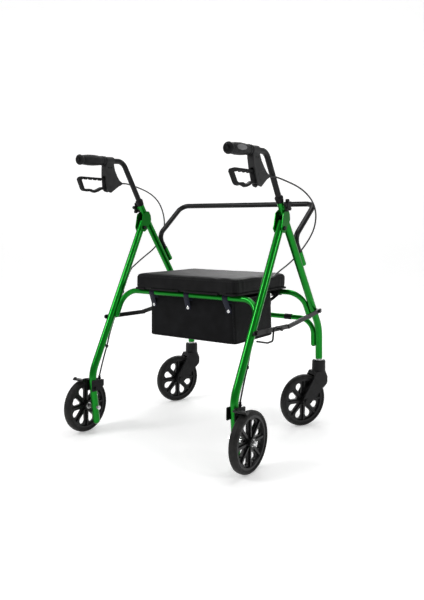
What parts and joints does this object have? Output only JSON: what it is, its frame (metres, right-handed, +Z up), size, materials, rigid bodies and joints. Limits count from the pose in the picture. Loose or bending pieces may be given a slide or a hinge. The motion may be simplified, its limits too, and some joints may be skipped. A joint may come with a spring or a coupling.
{
  "type": "rollator walker",
  "caption": "Folding green steel rollator with four black wheels, loop-brake handles, padded seat, backrest bar, folding side arms and an under-seat bag.",
  "frame": {"origin": "on the floor, under the middle of the bounding box", "axes": "+X to the user's right, +Y the direction of travel, +Z up"},
  "size_m": [0.7362, 0.6984, 0.9661],
  "materials": {
    "frame_green": "glossy deep green metallic powder coat",
    "black_metal": "semi-gloss black powder coat",
    "black_plastic": "moulded, fine grain",
    "grip_rubber": "satin rubber",
    "wheel_plastic": "satin moulded black",
    "tyre_rubber": "matt, fine tread",
    "steel": "bright zinc or chrome plate",
    "cable_jacket": "glossy vinyl jacket",
    "seat_vinyl": "fine-grained black vinyl, slight gloss",
    "seat_board": "black board",
    "bag_nylon": "black woven nylon",
    "webbing": "dark woven webbing"
  },
  "bodies": {
    "front_frame": {"front_leg_left": "frame_green", "front_leg_right": "frame_green", "handle_collars": "frame_green", "collar_sleeves": "black_plastic", "pivot_brackets": "frame_green", "frame_bolts": "black_metal", "seat_rail_front": "frame_green", "front_brace": "frame_green", "backrest_sockets": "frame_green", "caster_stems": "steel", "bag": "bag_nylon", "cable_crossings": "cable_jacket"},
    "rear_frame": {"rear_leg_left": "frame_green", "rear_leg_right": "frame_green", "leg_plugs": "black_plastic", "seat_rail_rear": "frame_green", "rear_axles": "steel", "brake_brackets": "black_plastic", "cable_guides": "black_plastic", "cables_lower": "cable_jacket", "bag_straps": "webbing", "arm_bolts": "black_metal", "brake_springs": "steel"},
    "seat": {"seat_pan": "seat_board", "seat_cushion": "seat_vinyl", "seat_clamps": "black_plastic"},
    "backrest": {"backrest_bar": "black_metal"},
    "bail": {"wire_bail": "black_metal"},
    "handle_right": {"handle_tube_right": "black_metal", "grip_right": "grip_rubber", "brake_housing_right": "black_plastic", "housing_fasteners_right": "steel", "cable_upper_right": "cable_jacket"},
    "lever_right": {"brake_lever_right": "black_plastic"},
    "knob_right": {"height_knob_right": "black_plastic"},
    "rear_wheel_right": {"rim_rear_right": "wheel_plastic", "tyre_rear_right": "tyre_rubber"},
    "caster_right": {"caster_fork_right": "black_plastic", "caster_axle_right": "steel"},
    "caster_wheel_right": {"rim_front_right": "wheel_plastic", "tyre_front_right": "tyre_rubber"},
    "arm_rear_right": {"arm_rear_right": "black_metal"},
    "arm_front_right": {"arm_front_right": "black_metal"},
    "brake_arm_right": {"brake_arm_right": "black_metal"},
    "handle_left": {"handle_tube_left": "black_metal", "grip_left": "grip_rubber", "brake_housing_left": "black_plastic", "housing_fasteners_left": "steel", "cable_upper_left": "cable_jacket"},
    "lever_left": {"brake_lever_left": "black_plastic"},
    "knob_left": {"height_knob_left": "black_plastic"},
    "rear_wheel_left": {"rim_rear_left": "wheel_plastic", "tyre_rear_left": "tyre_rubber"},
    "caster_left": {"caster_fork_left": "black_plastic", "caster_axle_left": "steel"},
    "caster_wheel_left": {"rim_front_left": "wheel_plastic", "tyre_front_left": "tyre_rubber"},
    "arm_rear_left": {"arm_rear_left": "black_metal"},
    "arm_front_left": {"arm_front_left": "black_metal"},
    "brake_arm_left": {"brake_arm_left": "black_metal"}
  },
  "joints": [
    {"name": "frame_fold", "type": "hinge", "parent": "front_frame", "child": "rear_frame", "pos_m": [0, 0.0005, 0.722], "axis": [1, 0, 0], "range_deg": [0, 27], "deforming": ["bag", "cable_crossings", "bag_straps"]},
    {"name": "seat_fold", "type": "hinge", "parent": "front_frame", "child": "seat", "pos_m": [0, 0.20623, 0.4944], "axis": [-1, 0, 0], "range_deg": [0, 76]},
    {"name": "backrest_lift", "type": "slide", "parent": "front_frame", "child": "backrest", "axis": [0, -0.5793, 0.8151], "range_m": [0, 0.04]},
    {"name": "bail_turn", "type": "hinge", "parent": "arm_rear_right", "child": "bail", "pos_m": [0.3225, -0.029, 0.4022], "axis": [-1, 0, 0], "range_deg": [0, 25]},
    {"name": "handle_height_right", "type": "slide", "parent": "front_frame", "child": "handle_right", "axis": [0, -0.5329, 0.8462], "range_m": [-0.058, 0.012], "deforming": ["cable_upper_right"]},
    {"name": "lever_squeeze_right", "type": "hinge", "parent": "handle_right", "child": "lever_right", "pos_m": [0.3025, -0.161, 0.86348], "axis": [-0.9945, 0, -0.1045], "range_deg": [0, 12], "stiffness_Nm_per_rad": 6},
    {"name": "knob_turn_right", "type": "hinge", "parent": "front_frame", "child": "knob_right", "pos_m": [0.318, 0.00615, 0.794], "axis": [1, 0, 0], "continuous": true},
    {"name": "rear_wheel_spin_right", "type": "hinge", "parent": "rear_frame", "child": "rear_wheel_right", "pos_m": [0.3393, -0.254, 0.09525], "axis": [1, 0, 0], "continuous": true},
    {"name": "caster_swivel_right", "type": "hinge", "parent": "front_frame", "child": "caster_right", "pos_m": [0.2933, 0.3158, 0.22], "axis": [0, 0, 1], "continuous": true},
    {"name": "caster_wheel_spin_right", "type": "hinge", "parent": "caster_right", "child": "caster_wheel_right", "pos_m": [0.26187, 0.25186, 0.09525], "axis": [0.8974, -0.4412, 0], "continuous": true},
    {"name": "arm_rear_turn_right", "type": "hinge", "parent": "rear_frame", "child": "arm_rear_right", "pos_m": [0.309, -0.1659, 0.4049], "axis": [1, 0, 0], "range_deg": [-70, 0]},
    {"name": "arm_front_turn_right", "type": "hinge", "parent": "front_frame", "child": "arm_front_right", "pos_m": [0.3145, 0.26142, 0.428], "axis": [1, 0, 0], "range_deg": [0, 53]},
    {"name": "brake_press_right", "type": "hinge", "parent": "rear_frame", "child": "brake_arm_right", "pos_m": [0.312, -0.238, 0.176], "axis": [1, 0, 0], "range_deg": [0, 3]},
    {"name": "handle_height_left", "type": "slide", "parent": "front_frame", "child": "handle_left", "axis": [0, -0.5329, 0.8462], "range_m": [-0.058, 0.012], "deforming": ["cable_upper_left"]},
    {"name": "lever_squeeze_left", "type": "hinge", "parent": "handle_left", "child": "lever_left", "pos_m": [-0.3025, -0.161, 0.86348], "axis": [-0.9945, 0, 0.1045], "range_deg": [0, 12], "stiffness_Nm_per_rad": 6},
    {"name": "knob_turn_left", "type": "hinge", "parent": "front_frame", "child": "knob_left", "pos_m": [-0.318, 0.00615, 0.794], "axis": [1, 0, 0], "continuous": true},
    {"name": "rear_wheel_spin_left", "type": "hinge", "parent": "rear_frame", "child": "rear_wheel_left", "pos_m": [-0.3393, -0.254, 0.09525], "axis": [1, 0, 0], "continuous": true},
    {"name": "caster_swivel_left", "type": "hinge", "parent": "front_frame", "child": "caster_left", "pos_m": [-0.2933, 0.3158, 0.22], "axis": [0, 0, 1], "continuous": true},
    {"name": "caster_wheel_spin_left", "type": "hinge", "parent": "caster_left", "child": "caster_wheel_left", "pos_m": [-0.31724, 0.24869, 0.09525], "axis": [0.9419, -0.3359, 0], "continuous": true},
    {"name": "arm_rear_turn_left", "type": "hinge", "parent": "rear_frame", "child": "arm_rear_left", "pos_m": [-0.309, -0.1659, 0.4049], "axis": [1, 0, 0], "range_deg": [-70, 0]},
    {"name": "arm_front_turn_left", "type": "hinge", "parent": "front_frame", "child": "arm_front_left", "pos_m": [-0.3145, 0.26142, 0.428], "axis": [1, 0, 0], "range_deg": [0, 53]},
    {"name": "brake_press_left", "type": "hinge", "parent": "rear_frame", "child": "brake_arm_left", "pos_m": [-0.312, -0.238, 0.176], "axis": [1, 0, 0], "range_deg": [0, 3]}
  ],
  "couplings": [
    {"joint": "arm_rear_turn_right", "follows": "frame_fold", "ratio": -2.5452},
    {"joint": "arm_front_turn_right", "follows": "frame_fold", "ratio": 1.923},
    {"joint": "brake_press_right", "follows": "lever_squeeze_right", "ratio": 0.25},
    {"joint": "arm_rear_turn_left", "follows": "frame_fold", "ratio": -2.5452},
    {"joint": "arm_front_turn_left", "follows": "frame_fold", "ratio": 1.923},
    {"joint": "brake_press_left", "follows": "lever_squeeze_left", "ratio": 0.25}
  ]
}
